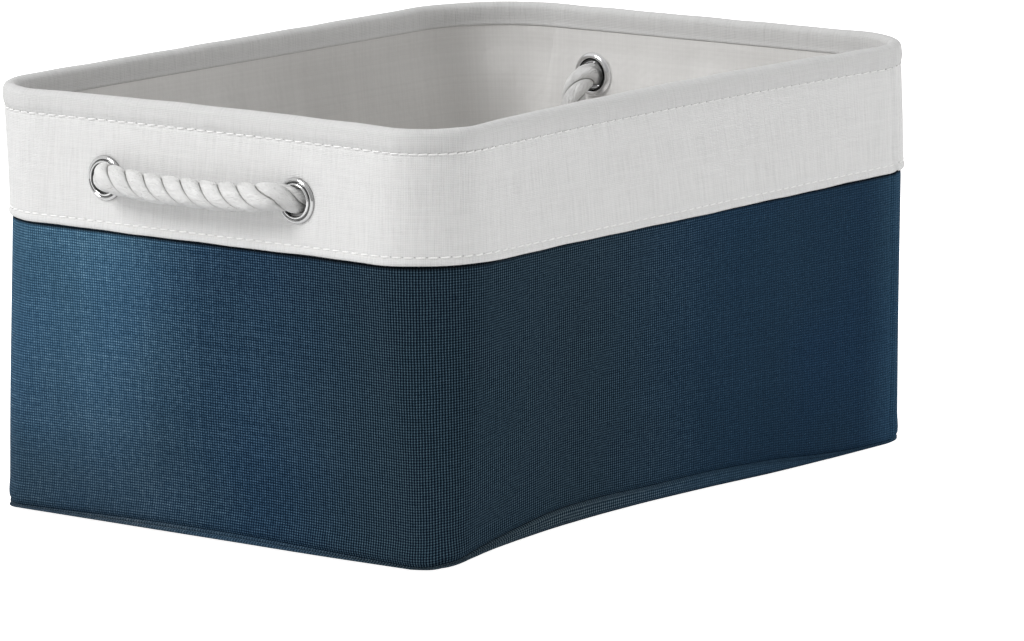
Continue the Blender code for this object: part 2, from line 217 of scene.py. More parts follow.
# ---------------------------------------------------------------- material nodes
class Tree:
    """A material's or the world's nodes, with short ways to add the usual ones."""

    def __init__(self, name, kind="materials", shader="Principled BSDF"):
        self.owner = getattr(bpy.data, kind).new(name)
        self.owner.use_nodes = True
        self.nodes = self.owner.node_tree.nodes
        self.links = self.owner.node_tree.links
        self.shader = self.nodes[shader]

    def new(self, kind, **settings):
        """A new node."""
        node = self.nodes.new("ShaderNode" + kind)
        for name, value in settings.items():
            setattr(node, name, value)
        return node

    def put(self, socket, value):
        """Links a socket, or sets a number or colour."""
        if isinstance(value, bpy.types.NodeSocket):
            self.links.new(value, socket)
        elif isinstance(value, (tuple, list)) and len(value) == 3 and len(socket.default_value) == 4:
            socket.default_value = (*value, 1.0)
        else:
            socket.default_value = value

    def feed(self, node, **values):
        """Fills a node's inputs by their names, with _ for a space."""
        for name, value in values.items():
            self.put(node.inputs[name.replace("_", " ")], value)
        return node

    def set(self, **values):
        """Fills the shader's inputs."""
        self.feed(self.shader, **values)

    def math(self, operation, *values, clamp=False):
        """A Math node's result."""
        node = self.new("Math", operation=operation, use_clamp=clamp)
        for socket, value in zip(node.inputs, values):
            self.put(socket, value)
        return node.outputs[0]

    def mul(self, first, second, clamp=False):
        """first x second."""
        return self.math("MULTIPLY", first, second, clamp=clamp)

    def add(self, first, second):
        """first + second."""
        return self.math("ADD", first, second)

    def muladd(self, value, factor, more):
        """value x factor + more."""
        return self.math("MULTIPLY_ADD", value, factor, more)

    def less(self, first, second):
        """first - second."""
        return self.math("SUBTRACT", first, second)

    def scaled(self, value, low, high):
        """A 0 to 1 value brought to low to high."""
        return self.muladd(value, high - low, low)

    def mix(self, share, first, second, blend="MIX"):
        """A colour mix."""
        node = self.new("Mix", data_type="RGBA", blend_type=blend)
        for socket, value in ((0, share), (6, first), (7, second)):
            self.put(node.inputs[socket], value)
        return node.outputs[2]

    def tint(self, colour, by):
        """A colour times another."""
        return self.mix(1.0, colour, by, "MULTIPLY")

    def wash(self, share, colour, by):
        """A colour, tinted by a share."""
        return self.mix(share, colour, self.tint(colour, by))

    def ramp(self, share, *stops):
        """A colour ramp of (place, colour) stops."""
        node = self.new("ValToRGB")
        self.put(node.inputs[0], share)
        elements = node.color_ramp.elements
        while len(elements) < len(stops):
            elements.new(0.5)
        for element, (place, colour) in zip(elements, stops):
            element.position = place
            element.color = (*colour, 1.0)
        return node.outputs[0]

    def cloth_place(self):
        """The place on the cloth in metres: round the bin and up it."""
        node = self.feed(self.new("SeparateXYZ"), Vector=self.new("UVMap", uv_map="cloth").outputs[0])
        return node.outputs[0], node.outputs[1]

    def place(self):
        """The place on the object in metres."""
        return self.new("TexCoord").outputs["Object"]

    def join(self, x, y, z=0.0):
        """A vector of three values."""
        return self.feed(self.new("CombineXYZ"), X=x, Y=y, Z=z).outputs[0]

    def noise(self, vector, scale, detail=2.0, roughness=0.5):
        """Noise from 0 to 1 at a place."""
        node = self.new("TexNoise")
        self.feed(node, Vector=vector, Scale=scale, Detail=detail, Roughness=roughness)
        return node.outputs["Fac"]

    def random(self, value, seed=0.0):
        """One random number from 0 to 1 for each whole number."""
        node = self.new("TexWhiteNoise", noise_dimensions="2D")
        return self.feed(node, Vector=self.join(self.math("ROUND", value), seed)).outputs["Value"]

    def fade(self, value, start, end):
        """0 at start and 1 at end, eased in between."""
        node = self.new("MapRange", interpolation_type="SMOOTHSTEP")
        return self.feed(node, Value=value, From_Min=start, From_Max=end).outputs[0]

    def within(self, value, near, far):
        """1 from the end of one fade to that of another, 0 away from there."""
        return self.mul(self.fade(value, *near), self.fade(value, *far))

    def bump(self, height, distance):
        """Bumps of that height in metres, on the shader's normal."""
        self.set(Normal=self.feed(self.new("Bump"), Distance=distance, Height=height).outputs[0])


def weave(tree, warp_pitch, weft_pitch, wander):
    """A plain weave: the yarns' height, a random tone for each yarn and which yarn lies on top."""
    u, v = tree.cloth_place()
    drift = tree.noise(tree.join(u, v), 90.0, 2.0)
    drift = tree.mul(tree.less(drift, 0.5), wander)
    u = tree.math("DIVIDE", tree.add(u, drift), warp_pitch)
    v = tree.math("DIVIDE", tree.add(v, drift), weft_pitch)
    across = tree.math("COSINE", tree.mul(u, math.pi))
    along = tree.math("COSINE", tree.mul(v, math.pi))
    over = tree.mul(across, along)
    warp = tree.math("POWER", tree.math("ABSOLUTE", across), 0.8)
    weft = tree.math("POWER", tree.math("ABSOLUTE", along), 0.8)
    warp = tree.mul(warp, tree.muladd(over, 0.5, 0.5))
    weft = tree.mul(weft, tree.muladd(over, -0.5, 0.5))
    height = tree.math("MAXIMUM", warp, weft)
    on_top = tree.math("GREATER_THAN", warp, weft)
    warp_tone = tree.random(u, 3.0)
    weft_tone = tree.random(v, 8.0)
    tone = tree.add(tree.mul(warp_tone, on_top), tree.mul(weft_tone, tree.less(1.0, on_top)))
    return height, tone, (u, v)


def navy_linen():
    """Coarse plain weave: dark navy in the gaps, lighter blue where a yarn stands up."""
    tree = Tree("navy_linen")
    height, tone, (u, v) = weave(tree, 0.00149, 0.00131, 0.0006)
    round_place, up = tree.cloth_place()
    slub = tree.noise(tree.join(tree.mul(u, 0.5), tree.mul(v, 0.5)), 1.0, 3.0, 0.6)
    cloud = tree.noise(tree.join(round_place, up), 11.0, 3.0)
    level = tree.mul(height, tree.scaled(tone, 0.92, 1.08))
    level = tree.mul(level, tree.scaled(slub, 0.55, 1.45))
    level = tree.mul(level, tree.scaled(cloud, 0.80, 1.20))
    smooth = tree.within(round_place, *SMOOTH)
    # painted light: the rear of the left end is lighter, as light falls there from the upper left
    painted_light_left = tree.within(round_place, *PAINTED_LIGHT_LEFT)
    crisp = tree.within(round_place, *CRISP)
    softer = tree.muladd(smooth, 0.60, tree.mul(painted_light_left, 0.30))
    level = tree.muladd(tree.less(0.44, level), softer, level)
    lines = [tree.math("COSINE", tree.mul(part, math.pi)) for part in (u, v)]
    lines = [tree.math("POWER", tree.math("ABSOLUTE", line), 5.0) for line in lines]
    net = tree.muladd(lines[0], 0.80, tree.mul(lines[1], 0.45))
    net = tree.mul(tree.mul(net, tree.scaled(slub, 0.75, 1.25)), 1.15)
    level = tree.muladd(tree.less(net, level), tree.mul(crisp, 0.60), level)
    colour = tree.ramp(level, (0.08, (0.0004, 0.0020, 0.0060)), (0.42, (0.0074, 0.0240, 0.0490)),
                       (0.75, (0.0270, 0.0680, 0.1220)), (1.0, (0.0800, 0.1480, 0.2200)))
    # painted light on the left end, lighter towards the top, as light falls from above
    painted_light_left = tree.mul(painted_light_left, tree.scaled(cloud, 0.75, 1.25))
    rise = tree.mul(up, PAINTED_LIGHT_RISE)
    gains = [tree.muladd(painted_light_left, tree.muladd(rise, slope, start), 1.0)
             for slope, start in ((1.1, 0.70), (1.1, 0.30), (0.95, 0.12))]
    colour = tree.tint(colour, tree.join(*gains))
    colour = tree.wash(crisp, colour, (0.92, 0.80, 0.68))
    hue = tree.noise(tree.join(round_place, up, 0.7), 9.0, 2.0)
    clouds = tree.ramp(hue, (0.38, (1.04, 1.01, 0.97)), (0.62, (0.94, 0.99, 1.05)))
    colour = tree.wash(tree.less(1.0, crisp), colour, clouds)
    # painted highlight: the bulge at the front right corner is lighter where it catches the light
    colour = tree.wash(tree.within(round_place, *PAINTED_LIGHT_RIGHT), colour, (2.1, 1.9, 1.7))
    shadow = tree.mul(tree.fade(up, *BAND_SHADOW), 0.90)
    colour = tree.mix(shadow, colour, (0.0010, 0.0020, 0.0035))
    colour = tree.wash(tree.math("LESS_THAN", up, 0.0), colour, (2.0, 1.6, 1.4))
    # painted shade where the base's edge turns under towards the floor
    colour = tree.wash(tree.fade(up, *UNDERSIDE_SHADE), colour, (0.35, 0.42, 0.50))
    tree.set(Base_Color=colour, Roughness=tree.scaled(height, 0.95, 0.8), Sheen_Weight=0.05,
             Sheen_Roughness=0.4, Sheen_Tint=(0.15, 0.40, 0.80), Specular_IOR_Level=0.06)
    tree.bump(height, 0.00045)
    return tree.owner


def white_canvas():
    """Fine plain canvas, off-white, with soft upright streaks."""
    tree = Tree("white_canvas")
    height, tone, (u, v) = weave(tree, 0.00085, 0.00085, 0.0004)
    streak = tree.noise(tree.join(tree.mul(u, 0.8), tree.mul(v, 0.045)), 1.0, 3.0, 0.6)
    cross = tree.noise(tree.join(tree.mul(u, 0.05), tree.mul(v, 0.8)), 1.0, 2.0)
    cloud = tree.noise(tree.join(*tree.cloth_place()), 14.0, 3.0)
    crisp = tree.within(tree.cloth_place()[0], *CRISP)
    level = tree.muladd(height, tree.scaled(crisp, 0.18, 0.34), tree.mul(tone, 0.08))
    level = tree.muladd(crisp, -0.07, level)
    level = tree.add(level, tree.mul(streak, 0.52))
    level = tree.add(level, tree.mul(cross, 0.20))
    level = tree.mul(level, tree.scaled(cloud, 0.88, 1.12))
    colour = tree.ramp(level, (0.20, (0.60, 0.598, 0.594)), (0.50, (0.755, 0.753, 0.748)),
                       (0.80, (0.83, 0.828, 0.823)))
    # painted shade on the hem: the canvas a little darker above the hem's stitches
    hem = tree.scaled(tree.fade(tree.cloth_place()[1], *HEM_SHADE), 1.0, 0.88)
    colour = tree.tint(colour, tree.join(hem, hem, hem))
    tree.set(Base_Color=colour, Roughness=tree.scaled(height, 0.95, 0.85), Sheen_Weight=0.08,
             Sheen_Roughness=0.5, Specular_IOR_Level=0.2)
    tree.bump(tree.add(height, tree.mul(streak, 1.2)), 0.00018)
    return tree.owner


def white_lining():
    """Smooth coated lining cloth, off-white, with faint creases."""
    tree = Tree("white_lining")
    height, tone, _ = weave(tree, 0.0006, 0.0006, 0.0002)
    crease = tree.noise(tree.join(*tree.cloth_place()), 22.0, 4.0, 0.6)
    cloud = tree.noise(tree.join(*tree.cloth_place()), 7.0, 2.0)
    colour = tree.ramp(tree.muladd(tone, 0.15, cloud),
                       (0.3, (0.64, 0.63, 0.615)), (0.8, (0.82, 0.81, 0.795)))
    tree.set(Base_Color=colour, Roughness=tree.scaled(crease, 0.55, 0.8), Specular_IOR_Level=0.3)
    tree.bump(tree.add(crease, tree.mul(height, 0.06)), 0.0016)
    return tree.owner


def felt_interlining():
    """Pressed felt: matted fibres and flecks."""
    tree = Tree("felt_interlining")
    fibre = tree.noise(tree.place(), 900.0, 6.0, 0.7)
    fleck = tree.noise(tree.place(), 160.0, 2.0)
    colour = tree.ramp(tree.muladd(fibre, 0.6, tree.mul(fleck, 0.4)),
                       (0.3, (0.42, 0.42, 0.40)), (0.7, (0.66, 0.66, 0.63)))
    tree.set(Base_Color=colour, Roughness=0.95, Sheen_Weight=0.3, Specular_IOR_Level=0.1)
    tree.bump(fibre, 0.0004)
    return tree.owner


def greyboard():
    """Recycled board: grey-brown with pulp flecks."""
    tree = Tree("greyboard")
    pulp = tree.noise(tree.place(), 420.0, 5.0, 0.65)
    fleck = tree.noise(tree.place(), 1500.0, 1.0)
    share = tree.muladd(fleck, 0.5, tree.mul(pulp, 0.5))
    colour = tree.ramp(share, (0.35, (0.24, 0.21, 0.18)), (0.5, (0.42, 0.38, 0.33)),
                       (0.65, (0.55, 0.51, 0.45)))
    tree.set(Base_Color=colour, Roughness=0.88)
    tree.bump(pulp, 0.0002)
    return tree.owner


# painted light round an eyelet's section: painted shade in bore and groove, painted highlights on the lip and
# the rounded flange
EYELET_PAINTED_LIGHT = ((0.06, 0.05), (0.12, 0.30), (0.15, 1.00), (0.23, 1.00), (0.26, 0.22), (0.33, 0.26),
                (0.38, 0.72), (0.47, 0.86), (0.54, 0.34), (0.62, 0.12))


def metal(name, base, low, high, section_light=()):
    """Plated or drawn metal: faint polish marks and uneven gloss, and painted highlights and shade along a
    turned section.
    """
    tree = Tree(name)
    haze = tree.noise(tree.place(), 260.0, 3.0)
    mark = tree.noise(tree.place(), 2600.0, 2.0)
    share = tree.muladd(mark, 0.4, tree.mul(haze, 0.6))
    dull = tuple(0.9 * part for part in base)
    colour = tree.ramp(share, (0.3, dull), (0.7, base))
    # painted highlights and shade along the eyelet's turned section
    if section_light:
        tone = tree.ramp(tree.cloth_place()[1], *[(place, (value, value, value)) for place, value in section_light])
        colour = tree.tint(colour, tone)
    tree.set(Base_Color=colour, Metallic=1.0, Roughness=tree.scaled(share, low, high))
    tree.bump(mark, 0.00001)
    return tree.owner


def cotton_rope():
    """Soft cotton strands: fine fibres that wind along each, with painted shade on their flanks and in the thin
    grooves between them.
    """
    tree = Tree("cotton_rope")
    strand, along = tree.cloth_place()
    turn = tree.muladd(along, 1.0 / ROPE_LAY, tree.math("DIVIDE", strand, 3.0))
    bend = tree.noise(tree.place(), 150.0, 2.0)
    across = tree.muladd(turn, 62.0, tree.mul(bend, 5.0))
    fibre = tree.noise(tree.join(across, tree.mul(along, 170.0)), 1.0, 4.0, 0.65)
    fuzz = tree.noise(tree.place(), 1300.0, 3.0)
    blotch = tree.noise(tree.place(), 170.0, 3.0)
    middle = tree.math("PINGPONG", strand, 0.5)
    # painted shade in the grooves between the strands
    groove_shade = tree.mul(middle, 18.0, clamp=True)
    side = tree.mul(middle, 3.4, clamp=True)
    shade = tree.muladd(fibre, 0.65, tree.mul(blotch, 0.25))
    shade = tree.muladd(fuzz, 0.20, shade)
    pale = tree.ramp(shade, (0.36, (0.62, 0.61, 0.60)), (0.44, (0.97, 0.965, 0.955)),
                     (0.58, (0.99, 0.988, 0.98)))
    # painted shade on each strand's flanks, next to the grooves
    pale = tree.mix(side, tree.mix(0.16, pale, (0.45, 0.44, 0.42)), pale)
    colour = tree.mix(groove_shade, (0.40, 0.39, 0.375), pale)
    tree.set(Base_Color=colour, Roughness=0.95, Sheen_Weight=0.15, Sheen_Roughness=0.5,
             Specular_IOR_Level=0.1)
    tree.bump(tree.muladd(fuzz, 0.35, tree.muladd(fibre, 2.2, blotch)), 0.0009)
    return tree.owner


def thread():
    """Sewing thread: two twisted plies."""
    tree = Tree("thread")
    twist = tree.noise(tree.place(), 2400.0, 3.0)
    colour = tree.ramp(twist, (0.3, (0.88, 0.875, 0.865)), (0.7, (0.97, 0.967, 0.96)))
    tree.set(Base_Color=colour, Roughness=0.6, Sheen_Weight=0.1)
    tree.bump(twist, 0.00008)
    return tree.owner


def needle_hole():
    """A dark disc of painted shade for the dimple where the thread goes into the cloth."""
    tree = Tree("needle_hole")
    shade = tree.noise(tree.place(), 1800.0, 2.0)
    colour = tree.ramp(shade, (0.3, (0.36, 0.355, 0.345)), (0.7, (0.50, 0.49, 0.48)))
    tree.set(Base_Color=colour, Roughness=0.95)
    return tree.owner


# ---------------------------------------------------------------- outline
def at_height(values, z):
    """A measure that changes from the floor to the band's lower edge and on to the rim."""
    floor, band, rim = values
    low = floor + (band - floor) * np.clip(z, 0.0, BAND_BOTTOM) / BAND_BOTTOM
    share = unit((z - BAND_BOTTOM) / (HEIGHT - BAND_BOTTOM))
    return np.where(z <= BAND_BOTTOM, low, band + (rim - band) * share)


def arc_spot(corner, angle, z, inset):
    """A spot on a corner's arc; the angle runs anticlockwise from +X."""
    x_way, y_way, radii, _ = corner
    full = at_height(radii, z)
    lean = at_height(TAPER, z)
    x = x_way * (LENGTH / 2 - lean - full) + (full - inset) * np.cos(angle)
    y = y_way * (WIDTH / 2 - lean - full) + (full - inset) * np.sin(angle)
    return x, y


def outline(step, z, inset):
    """Spots on the bin's outline. step is the number of a corner or side plus the share along it."""
    step = np.mod(step, 8.0)
    piece = np.minimum(step.astype(int), 7)
    share = step - piece
    x = np.zeros_like(share)
    y = np.zeros_like(share)
    bend = unit((np.minimum(z, HEIGHT) - BOW_START) / (HEIGHT - BOW_START)) ** BOW_POWER
    for number, corner in enumerate(CORNERS):
        start = math.pi / 2 * number
        at = piece == 2 * number
        x[at], y[at] = (part[at] for part in arc_spot(corner, start + math.pi / 2 * share, z, inset))
        at = piece == 2 * number + 1
        after = CORNERS[(number + 1) % 4]
        x1, y1 = arc_spot(corner, start + math.pi / 2, z, inset)
        x2, y2 = arc_spot(after, start + math.pi / 2, z, inset)
        bow = corner[3] * bend * 4 * share * (1 - share)
        angle = start + math.pi / 2
        x[at] = (x1 + (x2 - x1) * share - bow * math.cos(angle))[at]
        y[at] = (y1 + (y2 - y1) * share - bow * math.sin(angle))[at]
    return x, y


def normals(step, z, inset):
    """The outward direction on the outline, level."""
    reach = 0.004
    x1, y1 = outline(step - reach, z, inset)
    x2, y2 = outline(step + reach, z, inset)
    dx, dy = x2 - x1, y2 - y1
    size = np.hypot(dx, dy)
    return dy / size, -dx / size


def cloth_spots(step, z, out):
    """Spots that far out from the outline, with the level outward direction at each."""
    zero = np.zeros_like(z)
    x, y = outline(step, z, zero)
    nx, ny = normals(step, z, zero)
    return np.stack([x + nx * out, y + ny * out, z], 1), np.stack([nx, ny, zero], 1)


def make_columns():
    """The outline steps of the cloth's columns, and how far round the bin each is, in metres."""
    steps = []
    for piece in range(8):
        count = CORNER_STEPS if piece % 2 == 0 else (LONG_STEPS if piece in (1, 5) else SHORT_STEPS)
        steps += [piece + share / count for share in range(count)]
    steps = [step for step in steps if abs(step - SEAM_STEP) > SEAM_ZONE]
    steps += list(np.linspace(SEAM_STEP - SEAM_ZONE, SEAM_STEP + SEAM_ZONE, SEAM_COLUMNS))
    steps = np.array(sorted(steps))
    fine = np.linspace(0.0, 8.0, 4001)
    level = np.full_like(fine, BAND_BOTTOM)
    x, y = outline(fine, level, np.zeros_like(fine))
    run = np.concatenate([[0.0], np.cumsum(np.hypot(np.diff(x), np.diff(y)))])
    return steps, np.interp(steps, fine, run), fine, run


STEPS, ROUND, FINE_STEPS, FINE_ROUND = make_columns()
GIRTH = FINE_ROUND[-1]
SEAM_ROUND = float(np.interp(SEAM_STEP, FINE_STEPS, FINE_ROUND))


def step_at(round_place):
    """The outline step that is this far round the bin."""
    return np.interp(np.mod(round_place, GIRTH), FINE_ROUND, FINE_STEPS)


# the front side's lower edge: places along X, how far the base is off the floor and how high its seam runs
FRONT_PLACES = (-0.196, -0.189, -0.180, -0.165, -0.146, -0.111, -0.074,
                -0.037, 0.0126, 0.065, 0.100, 0.130, 0.165, 0.190)
FRONT_LIFTS = (0.0002, 0.0018, 0.0034, 0.0049, 0.0061, 0.0076, 0.0081,
               0.0080, 0.0070, 0.0054, 0.0050, 0.0047, 0.0045, 0.0042)
FRONT_SEAMS = (0.0012, 0.0032, 0.0055, 0.0085, 0.0118, 0.0165, 0.0170,
               0.0158, 0.0152, 0.0125, 0.0088, 0.0066, 0.0058, 0.0054)
REAR_LIFT = 0.0035
REAR_SEAM = 0.0090
END_SEAM = 0.0036


def smooth_read(places, values, at):
    """A curve through a few given values, without corners."""
    fine = np.linspace(places[0], places[-1], 200)
    read = np.interp(fine, places, values)
    window = np.hanning(25)
    padded = np.pad(read, 12, mode="edge")
    return np.interp(at, fine, np.convolve(padded, window / window.sum(), mode="valid"))


def eased(share):
    """A 0 to 1 share, cut off at both ends and eased."""
    share = unit(share)
    return share * share * (3 - 2 * share)


def hump(step, side, power=1.0):
    """0 at both ends of a side of the outline and 1 half way along it."""
    return np.sin(math.pi * unit(step - side)) ** power


def edge_heights(step, front, rear, end):
    """A height along the bin's lower edge: given along the front, humped along the rear and both ends."""
    step = np.mod(step, 8.0)
    x, _ = outline(step, np.zeros_like(step), np.zeros_like(step))
    given = smooth_read(FRONT_PLACES, front, x)
    first, last = front[0], front[-1]
    right = last + (first - last) * unit(step - 7.0) + (end - first) * 0.5 * hump(step, 7.0)
    height = np.where((step > 4.5) & (step <= 6.5), given, first)
    height = np.where((step >= 3.0) & (step <= 4.0), first + (end - first) * hump(step, 3.0, 1.2), height)
    height = np.where((step > 4.0) & (step <= 4.5), first + (given - first) * eased(step - 4) * 2, height)
    after = last + (given - last) * (1 - eased(step - 6)) * 2
    height = np.where((step > 6.5) & (step <= 7.0), after, height)
    height = np.where(step > 7.0, right, height)
    return np.where((step >= 1.0) & (step <= 2.0), first + (rear - first) * hump(step, 1.0, 1.5), height)


def seam_height(step):
    """How high the seam of wall and base runs."""
    return edge_heights(step, FRONT_SEAMS, REAR_SEAM, END_SEAM)


def contour_height(step):
    """How far the base's lower edge is off the floor."""
    return edge_heights(step, FRONT_LIFTS, REAR_LIFT, FRONT_LIFTS[0])


def bell(value, width):
    """A smooth hump round 0."""
    return np.exp(-((value / width) ** 2))


def calm(step, z):
    """0 next to an eyelet and at the rim and the floor, and 1 away from them."""
    x, y = outline(step, np.full_like(step, HANDLES["left"].z), np.zeros_like(step))
    eyelet = np.ones_like(x)
    for side, way in SIDES.items():
        for row in ROWS:
            spot = eyelet_spot(side, row)
            away = np.hypot(y - spot.y, z - spot.z)
            share = unit((away - 0.013) / 0.022)
            eyelet = np.where(x * way > LENGTH / 2 - 0.012, np.minimum(eyelet, share), eyelet)
    height = unit(z / 0.05) * unit((0.206 - z) / 0.035)
    return eased(eyelet) * height


def sway(step, round_place, z):
    """The slow unevenness of the standing cloth, outwards, the same for all its layers."""
    turn = TURN * round_place / GIRTH
    waves = 0.50 * np.sin(3 * turn + 0.7) + 0.34 * np.sin(7 * turn + 2.1 + 9 * z)
    waves += 0.26 * np.sin(13 * turn - 14 * z + 0.5) + 0.18 * np.sin(19 * turn + 31 * z)
    return 0.0009 * waves * calm(step, z)


def from_seam(round_place):
    """How far from the raised corner seam a place round the bin is."""
    return np.mod(round_place - SEAM_ROUND + GIRTH / 2, GIRTH) - GIRTH / 2


def ridge(round_place):
    """The raised seam up the front right corner."""
    away = from_seam(round_place)
    dips = bell(away - 0.0042, 0.0012) + bell(away + 0.0042, 0.0012)
    return 0.0008 * bell(away, 0.0019) - 0.0005 * dips


def wave(round_place, count, phase=0.0):
    """A wave with that many crests round the bin."""
    return np.sin(TURN * count * round_place / GIRTH + phase)


# ---------------------------------------------------------------- cloth
def grid(rows, columns, wrap=False):
    """The faces of a grid that closes round its columns, each as its four corners' rows and columns."""
    return [((row, column), (row, column + 1), (row + 1, column + 1), (row + 1, column))
            for row in range(rows if wrap else rows - 1) for column in range(columns)]


def turned_over(corners):
    """The same corners the other way round."""
    return corners[:1] + corners[:0:-1]


def numbered(corners, rows, columns, first=0):
    """The vertex numbers of a grid face's corners."""
    return tuple(first + row % rows * columns + column % columns for row, column in corners)


def fan(middle, first, count, flip=False):
    """The triangles between a middle vertex and a closed ring of vertices."""
    pairs = [(first + n, first + (n + 1) % count) for n in range(count)]
    return [(middle, *(pair[::-1] if flip else pair)) for pair in pairs]


def flat_places(vertices, faces):
    """The texture places of faces that lie flat."""
    return [tuple(vertices[n][:2]) for face in faces for n in face]


def mesh_object(name, vertices, faces, uvs, paints, flags=None):
    """A smooth mesh object from vertices, faces and one texture place for each vertex of each face."""
    data = bpy.data.meshes.new(name)
    data.from_pydata([tuple(v) for v in vertices], [], faces)
    layer = data.uv_layers.new(name="cloth")
    layer.data.foreach_set("uv", np.asarray(uvs, np.float32).ravel())
    for paint in paints:
        data.materials.append(paint)
    data.shade_smooth()
    if flags is not None:
        data.polygons.foreach_set("material_index", flags)
    data.update()
    return linked(name, data)


def lengths(path):
    """How far along a path each of its points is."""
    return np.concatenate([[0.0], np.cumsum(np.linalg.norm(np.diff(path, axis=0), axis=1))])


def hoop(name, heights, outs, paint):
    """A closed cloth ring. heights and outs are rows x columns: how high and how far out each spot is."""
    rows, columns = heights.shape
    spots, _ = cloth_spots(np.broadcast_to(STEPS, heights.shape).ravel(), heights.ravel(), outs.ravel())
    middle = columns // 3
    path = np.stack([outs[:, middle], heights[:, middle]], 1)
    run = lengths(path) + heights[0, middle]
    run = np.append(run, run[-1] + np.linalg.norm(path[0] - path[-1]))
    x, y = outline(np.broadcast_to(STEPS, heights.shape).ravel(), heights.ravel(), np.zeros(heights.size))
    x, y = x.reshape(rows, columns), y.reshape(rows, columns)
    edges = np.hypot(np.diff(x, axis=1, append=x[:, :1]), np.diff(y, axis=1, append=y[:, :1]))
    around = np.concatenate([np.zeros((rows, 1)), np.cumsum(edges, axis=1)], axis=1)
    near = int(np.argmin(np.abs(STEPS - NEAR_STEP)))
    around = around + (ROUND[near] - around[:, near])[:, None]
    cells = grid(rows, columns, True)
    faces = [numbered(corners, rows, columns) for corners in cells]
    uvs = [(around[row % rows][column], run[row]) for corners in cells for row, column in corners]
    return mesh_object(name, spots, faces, uvs, [paint])


def spread(values):
    """One value for each row, the same in all columns."""
    return np.repeat(np.asarray(values, float)[:, None], len(STEPS), axis=1)


def all_round(rows):
    """Each column's step and place round the bin, for that many rows."""
    return np.broadcast_to(STEPS, (rows, len(STEPS))), np.broadcast_to(ROUND, (rows, len(STEPS)))


def cut_holes(piece):
    """Cuts the four eyelets' holes through a cloth piece."""
    cutter = bmesh.new()
    for side in SIDES:
        for row in ROWS:
            place = Matrix.Translation(eyelet_spot(side, row)) @ Matrix.Rotation(math.pi / 2, 4, "Y")
            bmesh.ops.create_cone(cutter, cap_ends=True, segments=64, radius1=HOLE_RADIUS,
                                  radius2=HOLE_RADIUS, depth=0.03, matrix=place)
    data = bpy.data.meshes.new("cutter")
    cutter.to_mesh(data)
    cutter.free()
    tool = linked("cutter", data)
    modifier = piece.modifiers.new("holes", "BOOLEAN")
    modifier.operation = "DIFFERENCE"
    modifier.solver = "EXACT"
    modifier.object = tool
    graph = bpy.context.evaluated_depsgraph_get()
    made = bpy.data.meshes.new_from_object(piece.evaluated_get(graph))
    piece.modifiers.clear()
    piece.data = made
    bpy.data.objects.remove(tool)
    bpy.data.meshes.remove(data)


def wall_sheet(piece, node):
    """Hides the wall's part from the model and bakes the cloth's placement into its mesh."""
    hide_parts(node)
    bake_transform(piece)


def wall_path(low, top, inset, thick, count):
    """Rows of one wall cloth: up its outer face, over its edge, down its inner face and round its foot."""
    share = np.linspace(0.0, 1.0, count)
    up = low[None, :] + (top - low[None, :]) * share[:, None]
    outer = np.full_like(up, -inset)
    inner = np.full_like(up, -inset - thick)
    edge = thick * 0.3
    upper = np.full((1, len(low)), top + edge)
    lower = low[None, :] - edge
    middle = np.full((1, len(low)), -inset - thick / 2)
    heights = np.concatenate([up, upper, up[::-1], lower])
    outs = np.concatenate([outer, middle, inner, middle])
    return heights, outs


def make_outer_wall(paint):
    """The navy cloth round the bin, turned in at its seam with the base."""
    low = seam_height(STEPS)
    heights, outs = wall_path(low, WALL_TOP, WALL_INSET, WALL_THICK, WALL_ROWS)
    step, place = all_round(len(heights))
    outs = outs + sway(step, place, heights) + ridge(place)
    rise = heights - low[None, :]
    outs = outs - 0.0010 * bell(np.maximum(rise, 0.0), 0.0012) + 0.0004 * bell(rise - 0.005, 0.004)
    outs = outs + 0.5 * end_bulge(step) * bell(rise, 0.010)
    outer_rows = np.arange(len(heights))[:, None] < WALL_ROWS
    outs = outs - 0.0006 * bell(heights - BAND_BOTTOM + 0.0002, 0.0013) * outer_rows
    piece = hoop("outer_wall_cloth", heights, outs, paint)
    wall_sheet(piece, "outer_wall")


def make_interlining(paint):
    """The felt between wall and lining."""
    low = np.maximum(seam_height(STEPS) + 0.002, 0.0042)
    heights, outs = wall_path(low, LAYERS_TOP, FELT_INSET, FELT_THICK, 30)
    step, place = all_round(len(heights))
    piece = hoop("wall_interlining_felt", heights, outs + sway(step, place, heights), paint)
    cut_holes(piece)
    wall_sheet(piece, "wall_interlining")


def ripple(step, place, z):
    """The lining's soft vertical waves, inwards."""
    slow = wave(place, 5, 1.0)
    broad = 0.5 + 0.5 * np.sin(TURN * 31 * place / GIRTH + 2.2 * slow + 6 * z)
    fine = 0.5 + 0.5 * np.sin(TURN * 53 * place / GIRTH - 1.7 * slow - 17 * z)
    fade = unit((z - 0.008) / 0.03) * unit((0.200 - z) / 0.03)
    hem = unit((z - 0.188) / 0.010)
    return (0.0014 * broad * broad + 0.0009 * fine * slow ** 2) * fade * calm(step, z) + 0.0013 * hem


def make_lining_wall(paint):
    """The white lining round the inside."""
    low = contour_height(STEPS) + 0.0018
    heights, outs = wall_path(low, LAYERS_TOP, LINING_INSET, LINING_THICK, 50)
    step, place = all_round(len(heights))
    outs = outs + sway(step, place, heights) - ripple(step, place, heights)
    piece = hoop("lining_wall_cloth", heights, outs, paint)
    cut_holes(piece)
    wall_sheet(piece, "lining_wall")


